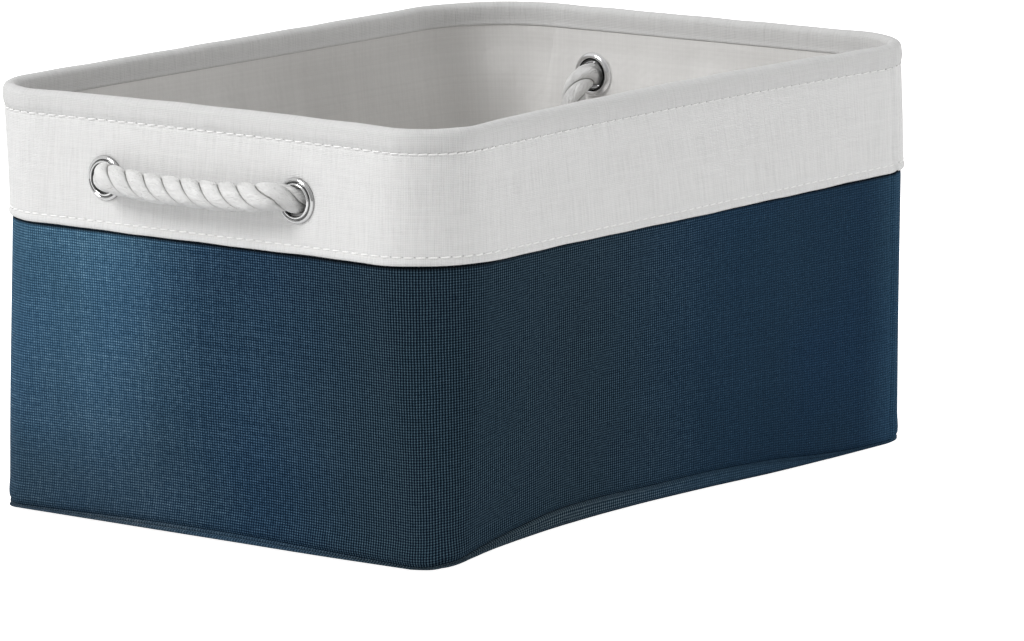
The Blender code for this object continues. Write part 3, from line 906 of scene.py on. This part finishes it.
# rows of the band, as height and how far out: at its lower edge, at the hem's stitches and at the hem's edge
BAND_EDGE = ((-0.0002, -0.0003), (0.0001, 0.0002), (0.0006, 0.0005), (0.0014, 0.0006), (0.0024, 0.0005),
             (0.0032, 0.0001), (0.0039, -0.0002), (0.0046, 0.0001), (0.0056, 0.0002), (0.0075, 0.0))
HEM_GROOVE = ((-0.0020, -0.0001), (-0.0010, -0.0003), (0.0, -0.0005), (0.0010, -0.0002), (0.0022, 0.0003),
              (0.0040, 0.0006), (0.0060, 0.0005))
HEM_EDGE = ((0.0060, -0.0003), (0.0035, -0.0001), (0.0020, 0.0001), (0.0010, 0.0001), (0.0, -0.0001),
            (-0.0007, 0.0003), (-0.0005, 0.0009), (0.0006, 0.0011), (0.0060, 0.0011))
BACK_HEIGHTS = (0.190, 0.180, 0.171, 0.162, 0.1535, BAND_BOTTOM + 0.0030)
CROWN_FOOT = 0.2072
CROWN_HALF = 0.00355


def band_path():
    """Rows of the band: its outer face, the crown over the wire, the hem inside, and back down behind it."""
    rows = [(BAND_BOTTOM + up, out) for up, out in BAND_EDGE]
    count = 17
    start, end = BAND_BOTTOM + 0.0100, HEM_BOTTOM - 0.0035
    rows += [(start + (end - start) * n / (count - 1), 0.0) for n in range(count)]
    rows += [(HEM_BOTTOM + up, out) for up, out in HEM_GROOVE]
    for number in range(11):
        angle = math.pi * number / 10
        rows.append((CROWN_FOOT + (HEIGHT - CROWN_FOOT) * math.sin(angle),
                     -WIRE_INSET + CROWN_HALF * math.cos(angle)))
    rows += [(HEM_BOTTOM + up, -HEM_FACE + out) for up, out in HEM_EDGE]
    rows += [(0.2088, -0.0052), (0.2098, -WIRE_INSET), (0.2088, -0.0013), (0.2060, -BAND_THICK),
             (HEM_BOTTOM, -BAND_THICK - 0.0004)]
    rows += [(up, -BAND_THICK) for up in BACK_HEIGHTS]
    rows.append((BAND_BOTTOM + 0.0003, -BAND_THICK + 0.0001))
    return np.array(rows).T


def make_band(paint):
    """The white band, folded over the wire and sewn down inside as the hem."""
    heights, outs = [spread(values) for values in band_path()]
    step, place = all_round(len(heights))
    notch = unit(1 - (heights - BAND_BOTTOM) / 0.006)
    outs = outs + sway(step, place, heights)
    outs = outs + ridge(place) * unit((HEIGHT + 0.004 - heights) / 0.01)
    lower = 0.00012 * wave(place, 17, 1.1) + 0.00008 * wave(place, 41)
    heights = heights + notch * (lower + 0.0013 * bell(from_seam(place), 0.0022))
    crown = unit((heights - HEM_BOTTOM) / 0.01)
    upper = 0.00008 * wave(place, 23) + 0.00006 * wave(place, 37, 2)
    heights = heights + crown * (upper - 0.0001)
    piece = hoop("band_canvas", heights, outs, paint)
    cut_holes(piece)
    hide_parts("upper_band")
    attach(piece, "rim")


# a stitch: how far along its pitch and how many thread radii out of the cloth
DASH = ((-0.36, -0.55), (-0.33, 0.10), (-0.22, 0.62), (0.0, 0.80),
        (0.22, 0.62), (0.33, 0.10), (0.36, -0.55))
THREAD_SIDES = 6
HOLE_SIDES = 8
# the place along X from where, and over what length, the front side's stitches sink into the cloth
SINK_START = -0.175
SINK_REACH = 0.12
FRONT_FACE = -0.14


def make_stitches(name, z, out, paints):
    """A row of lockstitches round the bin: short thread dashes that dive into the cloth at needle holes, each
    shown by a dark disc of painted shade.
    """
    count = int(round(GIRTH / STITCH_PITCH))
    places = (np.arange(count) + 0.5) * GIRTH / count
    step = step_at(places)
    level = np.full_like(step, z)
    spots, outwards = cloth_spots(step, level, out + sway(step, places, level))
    up = np.array([0.0, 0.0, 1.0])
    cells = grid(len(DASH), THREAD_SIDES)
    vertices, faces, uvs, flags = [], [], [], []
    for number, (spot, outward) in enumerate(zip(spots, outwards)):
        ahead = np.array([-outward[1], outward[0], 0.0])
        wobble = math.sin(number * 12.9898) * 43758.5453
        wobble = wobble - math.floor(wobble) - 0.5
        sunk = min(max((spot[0] - SINK_START) / SINK_REACH, 0.0), 1.0) if spot[1] < FRONT_FACE else 0.0
        size = (1.0 + 0.22 * wobble) * (1.0 - 0.45 * sunk)
        tilt = 0.10 + 0.10 * wobble
        first = len(vertices)
        for share, rise in DASH:
            wide = THREAD_RADIUS * (0.55 if abs(share) > 0.34 else 1.0) * size
            centre = spot + ahead * share * STITCH_PITCH * 0.98
            centre = centre + outward * (rise - 0.35 * sunk) * THREAD_RADIUS
            centre = centre + up * tilt * share * STITCH_PITCH * 0.6
            for corner in range(THREAD_SIDES):
                angle = TURN * corner / THREAD_SIDES
                vertices.append(centre + (outward * math.cos(angle) * 0.8 + up * math.sin(angle)) * wide)
        faces += [numbered(corners, len(DASH), THREAD_SIDES, first) for corners in cells]
        uvs += [corner for corners in cells for corner in corners]
        ends = range(first, first + THREAD_SIDES), range(len(vertices) - THREAD_SIDES, len(vertices))
        faces += [tuple(reversed(ends[0])), tuple(ends[1])]
        uvs += [(0.0, 0.0)] * 2 * THREAD_SIDES
        flags += [0] * (len(cells) + 2)
        # a dark disc of painted shade at the needle hole
        hole = spot + ahead * STITCH_PITCH * 0.5 + up * 0.00025 + outward * 0.00012
        first = len(vertices)
        vertices.append(hole + outward * 0.00012)
        for corner in range(HOLE_SIDES):
            angle = TURN * corner / HOLE_SIDES
            spoke = ahead * math.cos(angle) * 0.00062 + up * math.sin(angle) * 0.00042
            vertices.append(hole + spoke * (1 + 0.25 * wobble) - outward * 0.0003)
        faces += fan(first, first + 1, HOLE_SIDES) + [tuple(range(first + HOLE_SIDES, first, -1))]
        uvs += [(0.0, 0.0)] * 4 * HOLE_SIDES
        flags += [1] * (HOLE_SIDES + 1)
    piece = mesh_object(name, vertices, faces, uvs, paints, flags)
    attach(piece, "rim")


# ---------------------------------------------------------------- base
def end_bulge(step):
    """How far the base's turned-up edge bulges outwards at the left end and the near corner."""
    step = np.mod(step, 8.0)
    end = eased((step - 2.55) / 0.5) * eased((4.25 - step) / 0.55)
    return end * (0.0042 + 0.0022 * unit(3.6 - step)) + 0.0028 * bell(step - NEAR_STEP, 0.32)


def lift(x, y):
    """How far the base bows up off the floor under its long sides, and at its front right corner."""
    front = smooth_read(FRONT_PLACES, FRONT_LIFTS, x) * unit((-y - 0.050) / 0.095) ** 1.6
    end = unit(1 - (np.abs(x) / 0.165) ** 2) ** 1.2
    rear = REAR_LIFT * unit((y - 0.050) / 0.095) ** 1.6 * end
    right = FRONT_LIFTS[-1] * unit((x - 0.100) / 0.090) * unit((0.145 - y) / 0.29)
    return np.maximum(np.maximum(front, right), rear)


# insets of a flat sheet's rows: up to EDGE_INSET they follow the outline, then they shrink to the middle
EDGE_INSET = 0.016
MIDDLE_INSET = 0.15
SHEET_INSETS = (0.135, 0.12, 0.105, 0.09, 0.075, 0.06, 0.045, 0.03, EDGE_INSET)
PANEL_INSETS = (0.008, 0.012, EDGE_INSET, 0.026, 0.038, 0.052, 0.066, 0.08, 0.095, 0.11, 0.13)
PANEL_THICK = 0.001
PANEL_RUN = 0.0015
# the base's turned-up edge from the seam down: how far out, share of its height, extra height, share of bulge
PANEL_EDGE = (
    (-0.0032, 1.00, 0.0001, 0.5), (-0.0018, 1.00, 0.0003, 0.5), (-0.0008, 1.00, 0.0001, 0.5),
    (-0.0004, 1.00, -0.0004, 0.5), (-0.0006, 1.00, -0.0009, 0.5), (-0.0011, 1.00, -0.0012, 0.55),
    (-0.0007, 0.66, 0.0, 0.75), (-0.0004, 0.48, 0.0, 0.9), (-0.0004, 0.30, 0.0, 1.0),
    (-0.0009, 0.14, 0.0, 1.0), (-0.0020, 0.03, 0.0, 1.0), (-0.0042, 0.0, 0.0, 0.9),
)


def flat_row(inset, z):
    """A flat sheet's row of vertices, that far in from the outline, bowed by lift."""
    x, y = outline(STEPS, np.zeros_like(STEPS), np.full_like(STEPS, min(inset, EDGE_INSET)))
    share = min((MIDDLE_INSET - inset) / (MIDDLE_INSET - EDGE_INSET), 1.0)
    x, y = x * share, y * share
    return [(a, b, z + c) for a, b, c in zip(x, y, lift(x, y))]


def plate(name, rows, paint):
    """A flat sheet with a soft edge. rows are (inset, z) round the edge from below to above."""
    count, columns = len(rows), len(STEPS)
    vertices = [spot for inset, z in rows for spot in flat_row(inset, z)]
    faces = [numbered(corners, count, columns) for corners in grid(count, columns)]
    for row, flip in ((0, True), (count - 1, False)):
        faces += fan(len(vertices), row * columns, columns, flip)
        vertices.append((0.0, 0.0, rows[row][1]))
    return mesh_object(name, vertices, faces, flat_places(vertices, faces), [paint])


def flat_rows(inset, low, high, soft):
    """Edge rows of a flat sheet: its underside from the middle out, its rounded edge and its upper side."""
    edge = [(inset + soft, low), (inset + soft * 0.3, low + (high - low) * 0.15), (inset, (low + high) / 2),
            (inset + soft * 0.3, high - (high - low) * 0.15), (inset + soft, high)]
    return [(step, low) for step in SHEET_INSETS] + edge + [(step, high) for step in reversed(SHEET_INSETS)]


def panel_mesh():
    """The base panel's vertices, faces and texture places: turned-up edge, underside and upper side."""
    columns = len(STEPS)
    low = contour_height(STEPS)
    tall = seam_height(STEPS) - low
    full = np.clip(tall / 0.003, 0.3, 1.0)
    heights = np.stack([low + tall * share + shift * full for _, share, shift, _ in PANEL_EDGE])
    bulge = end_bulge(STEPS)
    outs = np.stack([out - 0.0015 * (1 - full) + bulge * share for out, _, _, share in PANEL_EDGE])
    spots, _ = cloth_spots(np.broadcast_to(STEPS, heights.shape).ravel(), heights.ravel(), outs.ravel())
    vertices = [tuple(spot) for spot in spots]
    turn = len(PANEL_EDGE) + len(PANEL_INSETS)
    for inset in PANEL_INSETS:
        vertices += flat_row(inset, 0.0)
    for inset in PANEL_INSETS[::-1] + (0.0036,):
        vertices += flat_row(inset, PANEL_THICK)
    top = heights[0] - 0.0011
    x, y = outline(STEPS, top, np.full_like(STEPS, 0.0034))
    vertices += zip(x, y, np.maximum(top, 0.0012))
    rows = len(vertices) // columns
    around = np.append(ROUND, GIRTH)
    run = np.concatenate([[0.0], np.cumsum(np.full(rows - 1, PANEL_RUN))])
    faces, uvs = [], []
    for corners in grid(rows, columns, True):
        row = corners[0][0]
        if row == turn - 1:
            continue
        corners = turned_over(corners)
        faces.append(numbered(corners, rows, columns))
        if row < len(PANEL_EDGE):
            uvs += [(around[column], -run[down]) for down, column in corners]
        else:
            uvs += flat_places(vertices, faces[-1:])
    for row, z, flip in ((turn - 1, 0.0, True), (turn, PANEL_THICK, False)):
        closing = fan(len(vertices), row * columns, columns, flip)
        vertices.append((0.0, 0.0, z))
        faces += closing
        uvs += flat_places(vertices, closing)
    return vertices, faces, uvs


def make_base(navy, lining, board):
    """The base: navy panel with its turned-up edge, board and lining floor."""
    panel = mesh_object("base_panel_cloth", *panel_mesh(), [navy])
    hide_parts("base_panel")
    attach(panel, ROOT)
    made = plate("base_board_sheet", flat_rows(0.0050, 0.0013, 0.0033, 0.0005), board)
    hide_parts("base_board")
    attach(made, ROOT)
    made = plate("lining_floor_cloth", flat_rows(0.0048, 0.0036, 0.0044, 0.0003), lining)
    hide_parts("lining_floor")
    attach(made, ROOT)


# ---------------------------------------------------------------- eyelets
def turned(name, profile, place, paint, steps=96):
    """A ring turned from a closed (radius, height) profile."""
    rows = len(profile)
    vertices = []
    for number in range(steps):
        angle = TURN * number / steps
        for radius, height in profile:
            vertices.append(place @ Vector((radius * math.cos(angle), radius * math.sin(angle), height)))
    cells = grid(steps, rows, True)
    faces = [numbered(turned_over(corners), steps, rows) for corners in cells]
    uvs = [(corners[0][0] / steps, corners[0][1] / rows) for corners in cells for _ in corners]
    return mesh_object(name, vertices, faces, uvs, [paint])


def outward_place(way, spot):
    """The placement that turns a profile's height outwards at an end face."""
    return Matrix.Translation(spot) @ Matrix.Rotation(way * math.pi / 2, 4, "Y")


def rounded(points):
    """Corner cutting on a closed profile."""
    spots = np.array(points, float)
    after = np.roll(spots, -1, axis=0)
    spots = np.stack([spots * 0.75 + after * 0.25, spots * 0.25 + after * 0.75], 1).reshape(-1, 2)
    return [tuple(spot) for spot in spots]


# the eyelet's and its inner ring's sections: how far from the bore, how far out of the band
EYELET_SECTION = (
    (0.0, -0.0060), (0.0, 0.0010), (0.0001, 0.0019), (0.0005, 0.0024), (0.0011, 0.0024),
    (0.0014, 0.0017), (0.0016, 0.0009), (0.0020, 0.0013), (0.0026, 0.0018), (0.0032, 0.0016),
    (0.0037, 0.0010), (0.0039, 0.0003), (0.0038, -0.0001), (0.0030, 0.0002), (0.0010, 0.0002),
    (0.0006, -0.0006), (0.0006, -0.0060), (0.0009, -0.0070), (0.0004, -0.0073),
)
WASHER_SECTION = (
    (0.0012, -0.0046), (0.0040, -0.0046), (0.0046, -0.0047), (0.0046, -0.0054), (0.0041, -0.0063),
    (0.0031, -0.0070), (0.0020, -0.0071), (0.0012, -0.0064), (0.0009, -0.0052),
)


def make_eyelet(side, row, ring, chrome):
    """A plated eyelet and the ring it is set against inside."""
    place = outward_place(SIDES[side], eyelet_spot(side, row))
    for kind, section, paint in (("eyelet", EYELET_SECTION, ring), ("washer", WASHER_SECTION, chrome)):
        profile = rounded([(EYELET_BORE + out, up) for out, up in section])
        made = turned(f"{kind}_{side}_{row}_ring", profile, place, paint)
        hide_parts(f"{kind}_{side}_{row}")
        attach(made, "rim")


# ---------------------------------------------------------------- ropes
def smooth_path(points, spacing):
    """Evenly spaced spots along a polyline of closely set points."""
    spots = np.array(points, float)
    run = lengths(spots)
    along = np.linspace(0.0, run[-1], max(3, int(round(run[-1] / spacing)) + 1))
    return np.stack([np.interp(along, run, spots[:, axis]) for axis in range(3)], 1), along


def frames(path, start_side):
    """Directions across a path, carried along it without twist."""
    ahead = np.gradient(path, axis=0)
    ahead /= np.linalg.norm(ahead, axis=1)[:, None]
    side = np.array(start_side, float)
    sides, ups = [], []
    for direction in ahead:
        side = side - direction * (side @ direction)
        side = side / np.linalg.norm(side)
        sides.append(side.copy())
        ups.append(np.cross(direction, side))
    return np.array(sides), np.array(ups)


def strand_section():
    """A three-strand rope's outline, 1 in radius: (angle, reach, share round the strand)."""
    shares = (0.0, 0.014, 0.035, 0.07, 0.13, 0.22, 0.35, 0.5, 0.65, 0.78, 0.87, 0.93, 0.965, 0.986)
    spots = []
    for number in range(3):
        for share in shares:
            edge = abs(share - 0.5) * 2
            reach = 1.03 - 0.20 * edge ** 2.6 - 0.13 * math.exp(-(((1 - edge) / 0.055) ** 2))
            spots.append(((number + share - 0.5) * TURN / 3, reach, share))
    return spots


def rope_mesh(path, along, upright, level, start_side, phase):
    """Vertices, faces and texture places of a laid rope, with its radii in two directions."""
    sides, ups = frames(path, start_side)
    section = strand_section()
    rows, ring = len(path), len(section)
    vertices = []
    for number, spot in enumerate(path):
        turn = phase + TURN * along[number] / ROPE_LAY
        for angle, reach, _ in section:
            spoke = sides[number] * math.cos(angle + turn) * upright[number]
            spoke = spoke + ups[number] * math.sin(angle + turn) * level[number]
            vertices.append(spot + spoke * reach)
    cells = grid(rows, ring)
    faces = [numbered(corners, rows, ring) for corners in cells]
    uvs = [(section[column % ring][2] or float(column > corners[0][1]), along[row])
           for corners in cells for row, column in corners]
    for row, flip in ((0, True), (rows - 1, False)):
        faces += fan(len(vertices), row * ring, ring, flip)
        vertices.append(path[row])
        uvs += [(0.5, 0.0)] * 3 * ring
    return vertices, faces, uvs


def join_parts(parts):
    """Several meshes' vertices, faces and texture places as one."""
    vertices, faces, uvs = [], [], []
    for more_vertices, more_faces, more_uvs in parts:
        first = len(vertices)
        vertices += list(more_vertices)
        faces += [tuple(first + n for n in face) for face in more_faces]
        uvs += more_uvs
    return vertices, faces, uvs


# the rope's run out of an eyelet: towards the other eyelet, outwards from the band
GRIP_RUN = (
    (0.0, -0.0068), (0.0, -0.0035), (0.0006, -0.0008), (0.0016, 0.0014), (0.0032, 0.0040),
    (0.0056, 0.0069), (0.0090, 0.0092), (0.0140, 0.0102), (0.0250, 0.0105), (0.0400, 0.0105),
)
# how far from its start the rope is pinched by the eyelet's lip, and its two radii there
PINCH_PLACES = (0.0, 0.007, 0.013, 0.017, 0.023)
PINCH_UPRIGHT = (0.0060, 0.0062, 0.0066, 0.0068, GRIP_RADIUS)
PINCH_LEVEL = (0.0056, 0.0052, 0.0054, 0.0062, GRIP_RADIUS)


def rounded_run(points, count):
    """A smooth curve through points."""
    spots = np.array([points[0], *points, points[-1]], float)
    run = []
    for first, start, end, last in zip(spots, spots[1:], spots[2:], spots[3:]):
        for share in np.linspace(0.0, 1.0, count, endpoint=False):
            square = (2 * first - 5 * start + 4 * end - last) * share ** 2
            cube = (3 * start - first - 3 * end + last) * share ** 3
            run.append(0.5 * (2 * start + (end - first) * share + square + cube))
    return run + [spots[-1]]


def grip_route(side):
    """The grip's centreline, from inside the front eyelet round to inside the rear one."""
    way, middle = SIDES[side], HANDLES[side]
    half = [(abs(middle.x) + out, EYELET_REACH - off) for off, out in rounded_run(GRIP_RUN, 10)]
    run = [(x, -y) for x, y in half] + [(x, y) for x, y in reversed(half)]
    points = []
    for x, y in run:
        rise = GRIP_RISE * min(abs(y) / (EYELET_REACH - 0.008), 1.0) ** 2 - GRIP_SAG
        out = min(max((x - abs(middle.x)) / 0.008, 0.0), 1.0)
        points.append((way * x, middle.y + y, middle.z + rise * out))
    return points


def tail_route(side, row):
    """A tail's centreline, from inside its eyelet down to its knot."""
    way, spot = SIDES[side], eyelet_spot(side, row)
    start = spot.x - way * TAIL_START
    inner = spot.x - way * (EYELET_DEPTH + 0.0004)
    points = [(inner + (start - inner) * n / 4, spot.y, spot.z) for n in range(4)]
    for number in range(31):
        angle = math.pi / 2 * number / 30
        x = start - way * TAIL_BEND * math.sin(angle)
        points.append((x, spot.y, spot.z - TAIL_BEND * (1 - math.cos(angle))))
    x, y, z = points[-1]
    points += [(x, y, z - TAIL_DROP * n / 10) for n in range(1, 13)]
    return points


def make_knot(side, row, x, y, top, paint):
    """A stopper knot: the rope's end wound twice round itself, slightly aslant, and its cut end below."""
    points = []
    for share in np.arange(111) / 110:
        angle = TURN * WRAP_TURNS * share + (0.0 if row == "front" else 1.3)
        ease = min(share / 0.12, (1 - share) / 0.12, 1.0)
        distance = WRAP_START + (WRAP_REACH - WRAP_START) * math.sin(math.pi / 2 * ease)
        z = top - WRAP_RADIUS - (KNOT_HEIGHT - 2 * WRAP_RADIUS) * share
        tilt = 0.20 * distance * math.cos(angle + 0.6)
        points.append((x + distance * math.cos(angle), y + distance * math.sin(angle), z + tilt))
    wrap, wrap_run = smooth_path(points, 0.0011)
    round_wrap = np.full(len(wrap), WRAP_RADIUS)
    parts = [rope_mesh(wrap, wrap_run, round_wrap, round_wrap, (0, 0, 1), 0.4)]
    core, core_run = smooth_path([(x, y, top + 0.002), (x, y, top - KNOT_HEIGHT - KNOT_END)], 0.0010)
    below = unit((top - core[:, 2]) / KNOT_HEIGHT)
    radii = ROPE_RADIUS * (1 - 0.22 * np.sin(math.pi * below))
    fray = unit((core[:, 2] - (top - KNOT_HEIGHT - KNOT_END)) / 0.002)
    radii = radii * (0.86 + 0.14 * fray)
    parts.append(rope_mesh(core, core_run, radii, radii, (1, 0, 0), 0.9))
    made = mesh_object(f"knot_{side}_{row}_rope", *join_parts(parts), [paint])
    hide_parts(f"knot_{side}_{row}")
    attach(made, f"{side}_knots")
    return made


def make_handle(side, paint):
    """One rope handle: the grip through both eyelets, its two tails and their knots."""
    way, middle = SIDES[side], HANDLES[side]
    path, along = smooth_path(grip_route(side), 0.0009)
    from_end = np.minimum(along, along[-1] - along)
    upright = np.interp(from_end, PINCH_PLACES, PINCH_UPRIGHT)
    level = np.interp(from_end, PINCH_PLACES, PINCH_LEVEL)
    parts = rope_mesh(path, along, upright, level, (0, 0, 1), ROPE_PHASE)
    grip = mesh_object(f"rope_{side}", *parts, [paint])
    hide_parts(f"rope_{side}_grip", f"rope_{side}_leg_front", f"rope_{side}_leg_rear")
    pieces = []
    for row in ROWS:
        spot = eyelet_spot(side, row)
        tail_path, tail_along = smooth_path(tail_route(side, row), 0.0009)
        thick = np.interp(tail_along, (0.0, 0.004), (0.0058, 0.0063))
        parts = rope_mesh(tail_path, tail_along, thick, thick, (0, 0, 1), ROPE_PHASE)
        tail = mesh_object(f"rope_{side}_tail_{row}_end", *parts, [paint])
        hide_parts(f"rope_{side}_tail_{row}")
        start = spot - Vector((way * TAIL_START, 0.0, 0.0))
        end = start - Vector((way * TAIL_BEND, 0.0, TAIL_BEND))
        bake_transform(tail)
        knot = make_knot(side, row, tail_path[-1][0], spot.y, end.z - TAIL_DROP, paint)
        pieces += [tail, knot]
    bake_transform(grip)


# ---------------------------------------------------------------- room
def make_floor():
    """A plain pale floor, lit so that it is white."""
    data = bpy.data.meshes.new("floor")
    mesh = bmesh.new()
    bmesh.ops.create_grid(mesh, x_segments=2, y_segments=2, size=6.0)
    mesh.to_mesh(data)
    mesh.free()
    floor = linked("floor", data)
    floor.location.z = FLOOR_HEIGHT
    tree = Tree("floor")
    glow = tree.mul(tree.new("LightPath").outputs["Is Camera Ray"], FLOOR_GLOW)
    tree.set(Base_Color=(0.90, 0.90, 0.90), Roughness=0.9, Specular_IOR_Level=0.0,
             Emission_Color=(1.0, 1.0, 1.0), Emission_Strength=glow)
    data.materials.append(tree.owner)


def area_light(name, place, size, power):
    """A soft light that faces the bin."""
    data = bpy.data.lights.new(name, "AREA")
    data.shape = "SQUARE"
    data.size = size
    data.energy = power
    made = linked(name, data)
    made.location = place
    aim(made, LAMP_TARGET - Vector(place))


def make_room():
    """Pale surroundings, darker towards the front, and soft light from the left and behind."""
    scene = bpy.context.scene
    scene.view_settings.view_transform = "Standard"
    tree = Tree("room", "worlds", "Background")
    scene.world = tree.owner
    front = tree.new("VectorMath", operation="DOT_PRODUCT")
    tree.put(front.inputs[0], tree.new("TexCoord").outputs["Generated"])
    tree.put(front.inputs[1], Vector(DARK_WAY))
    level = tree.feed(tree.new("MapRange"), Value=front.outputs["Value"], From_Min=DARK_START,
                      From_Max=DARK_END, To_Min=WORLD_BRIGHT, To_Max=WORLD_DARK).outputs[0]
    tree.set(Color=(1.0, 1.0, 1.0), Strength=level)
    seen = tree.feed(tree.new("Background"), Color=(1.0, 1.0, 1.0), Strength=1.0)
    mix = tree.new("MixShader")
    for socket, value in zip(mix.inputs, (tree.new("LightPath").outputs["Is Camera Ray"],
                                          tree.shader.outputs[0], seen.outputs[0])):
        tree.put(socket, value)
    tree.put(tree.nodes["World Output"].inputs[0], mix.outputs[0])
    area_light("key", KEY_PLACE, 1.1, KEY_POWER)
    area_light("fill", FILL_PLACE, 0.4, FILL_POWER)
    make_floor()


# ---------------------------------------------------------------- all of it
def main():
    make_camera()
    navy = navy_linen()
    canvas = white_canvas()
    lining = white_lining()
    chrome = metal("chrome", (0.90, 0.90, 0.91), 0.04, 0.12)
    ring = metal("eyelet_chrome", (0.92, 0.92, 0.92), 0.05, 0.14, EYELET_PAINTED_LIGHT)
    steel = metal("steel_wire", (0.55, 0.55, 0.56), 0.25, 0.4)
    rope = cotton_rope()
    for side in SIDES:
        make_handle(side, rope)
        for row in ROWS:
            make_eyelet(side, row, ring, chrome)
    make_outer_wall(navy)
    make_interlining(felt_interlining())
    make_lining_wall(lining)
    make_band(canvas)
    make_base(navy, lining, greyboard())
    sewn = [thread(), needle_hole()]
    make_stitches("stitches_band_lower", BAND_BOTTOM + 0.0040, -0.0002, sewn)
    make_stitches("stitches_hem_outer", HEM_BOTTOM, -0.0004, sewn)
    for name in ("rim_wire", "wire_sleeve"):
        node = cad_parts[name]
        node.data.materials.clear()
        node.data.materials.append(steel)
    make_room()


main()
